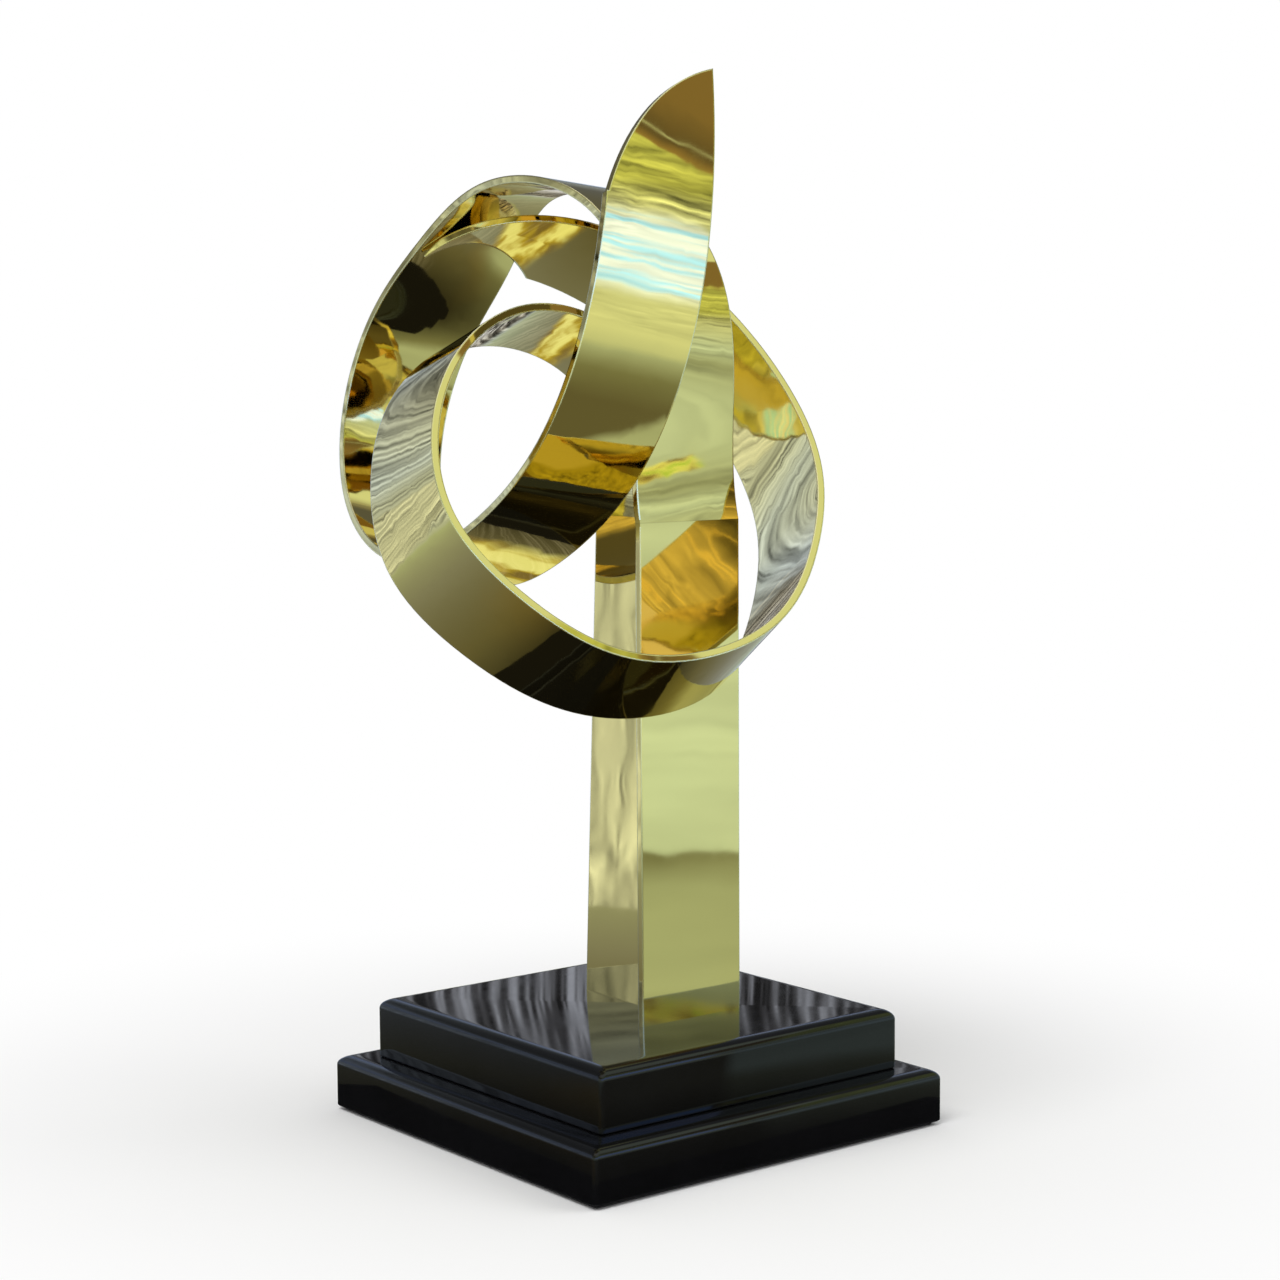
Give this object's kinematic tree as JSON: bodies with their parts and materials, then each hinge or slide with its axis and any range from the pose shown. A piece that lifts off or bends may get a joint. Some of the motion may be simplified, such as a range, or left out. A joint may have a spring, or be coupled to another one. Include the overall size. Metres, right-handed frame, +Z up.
{
  "type": "knot sculpture",
  "caption": "Abstract desk sculpture: polished brass flat bars wound round each other in a knot, standing on a stepped square black plinth.",
  "frame": {"origin": "middle of the plinth's underside, where the felt rests on the table", "axes": "+Z up the sculpture, -Y the way the front leg's face looks, -X the way the side leg's face looks"},
  "size_m": [0.2153, 0.2159, 0.4229],
  "materials": {
    "brass_bar": "mirror polished",
    "black_lacquer": "gloss black lacquer",
    "felt": "matt felt",
    "steel": "plain zinc plated"
  },
  "bodies": {
    "root": {"base_felt": "felt", "plinth_lower_step": "black_lacquer", "plinth_upper_step": "black_lacquer", "front_leg": "brass_bar", "side_leg": "brass_bar", "front_loop": "brass_bar", "side_ring": "brass_bar", "front_cleat": "steel", "side_cleat": "steel", "cleat_bolts": "steel", "cleat_nuts": "steel", "cleat_screws": "steel", "step_screws": "steel"}
  },
  "joints": []
}
